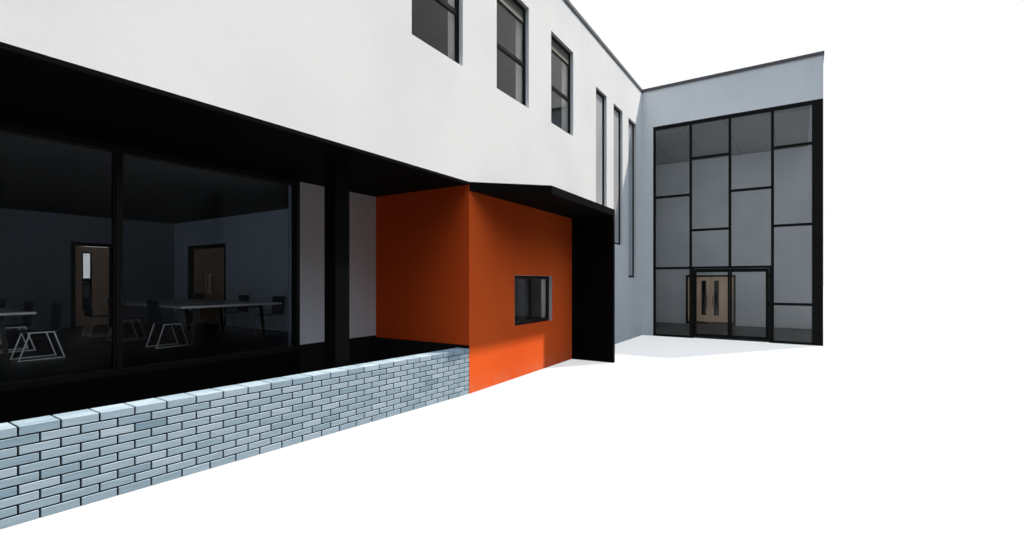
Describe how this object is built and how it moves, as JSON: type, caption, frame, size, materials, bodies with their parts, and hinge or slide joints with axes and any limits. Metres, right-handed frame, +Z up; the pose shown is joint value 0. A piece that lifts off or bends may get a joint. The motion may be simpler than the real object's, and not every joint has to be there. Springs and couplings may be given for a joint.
{
  "type": "school building",
  "caption": "Two-storey flat-roofed school with a white upper wing over a set-back glazed dining room, an orange bay under a black canopy and a tall glazed entrance block.",
  "frame": {"origin": "centre of the bounding box's footprint, at paving level", "axes": "+X along the long wing towards the entrance block, +Y from the yard into the building, +Z up"},
  "size_m": [34.3, 16.93, 7.915],
  "materials": {
    "white_render": "smooth painted render",
    "inner_plaster": "painted plaster",
    "concrete": "fair-faced concrete",
    "dark_floor": "satin resilient floor",
    "roof_membrane": "lapped sheet",
    "ceiling_board": "matt board",
    "black_cladding": "matt black sheet",
    "black_frame": "satin powder coat",
    "orange_render": "smooth painted render",
    "blue_brick": "smooth blue-grey brick",
    "coping_metal": "satin powder coat",
    "clear_glass": "clear double glazing",
    "grey_panel": "satin panel",
    "door_veneer": "pale satin veneer",
    "dark_lining": "satin paint",
    "table_laminate": "satin laminate",
    "furniture_steel": "satin powder coat",
    "chair_plastic": "moulded plastic",
    "bright_wire": "satin chrome",
    "door_steel": "brushed stainless"
  },
  "bodies": {
    "building": {"ground_floor": "dark_floor", "dining_floor": "dark_floor", "upper_floor_slab": "concrete", "wing_roof": "roof_membrane", "block_roof": "roof_membrane", "ceilings": "ceiling_board", "soffit": "black_cladding", "canopy": "black_cladding", "canopy_fin": "black_cladding", "columns": "black_cladding", "planter_wall": "blue_brick", "orange_front_wall": "orange_render", "orange_side_wall": "orange_render", "recess_wall_panels": "white_render", "dining_sill_and_lintel": "black_cladding", "dining_window_frame": "black_frame", "dining_window_glass": "clear_glass", "front_wall": "white_render", "slot_window_wall": "white_render", "front_window_frames": "black_frame", "window_head_panels": "grey_panel", "window_glass": "clear_glass", "rear_wall": "white_render", "back_window_frames": "black_frame", "left_end_wall": "white_render", "block_front_wall": "white_render", "block_side_wall": "white_render", "block_end_wall": "white_render", "corner_post": "black_frame", "curtain_wall_sides": "black_frame", "curtain_wall_over_doors": "black_frame", "side_curtain_wall": "black_frame", "curtain_wall_glass": "clear_glass", "lobby_wall": "inner_plaster", "dining_end_wall": "inner_plaster", "dining_back_wall": "inner_plaster", "door_lintels": "inner_plaster", "door_frames": "dark_lining", "table_tops": "table_laminate", "table_trestles": "furniture_steel", "chair_shells": "chair_plastic", "chair_sleds": "bright_wire", "copings_along_wing": "coping_metal", "copings_across_wing": "coping_metal"},
    "entrance_left_leaf": {"entrance_door_left": "black_frame", "entrance_glass_left": "clear_glass"},
    "entrance_right_leaf": {"entrance_door_right": "black_frame", "entrance_glass_right": "clear_glass"},
    "lobby_left_leaf": {"lobby_door_left": "door_veneer"},
    "lobby_right_leaf": {"lobby_door_right": "door_veneer"},
    "dining_left_leaf": {"dining_door_left": "door_veneer"},
    "dining_right_leaf": {"dining_door_right": "door_veneer"},
    "corridor_leaf": {"corridor_door": "door_veneer"}
  },
  "joints": [
    {"name": "entrance_left_hinge", "type": "hinge", "parent": "building", "child": "entrance_left_leaf", "pos_m": [8.36, -5.132, 1.1], "axis": [0, 0, -1], "range_deg": [0, 90]},
    {"name": "entrance_right_hinge", "type": "hinge", "parent": "building", "child": "entrance_right_leaf", "pos_m": [8.36, -7.16, 1.1], "axis": [0, 0, 1], "range_deg": [0, 90]},
    {"name": "lobby_left_hinge", "type": "hinge", "parent": "building", "child": "lobby_left_leaf", "pos_m": [12.845, -4.096, 1], "axis": [0, 0, -1], "range_deg": [0, 90]},
    {"name": "lobby_right_hinge", "type": "hinge", "parent": "building", "child": "lobby_right_leaf", "pos_m": [12.845, -5.734, 1], "axis": [0, 0, 1], "range_deg": [0, 90]},
    {"name": "dining_left_hinge", "type": "hinge", "parent": "building", "child": "dining_left_leaf", "pos_m": [-0.8, 5.234, 1.7], "axis": [0, 0, 1], "range_deg": [0, 90]},
    {"name": "dining_right_hinge", "type": "hinge", "parent": "building", "child": "dining_right_leaf", "pos_m": [-0.8, 3.596, 1.7], "axis": [0, 0, -1], "range_deg": [0, 90]},
    {"name": "corridor_hinge", "type": "hinge", "parent": "building", "child": "corridor_leaf", "pos_m": [-2.281, 6.19, 1.7], "axis": [0, 0, -1], "range_deg": [0, 90]}
  ]
}
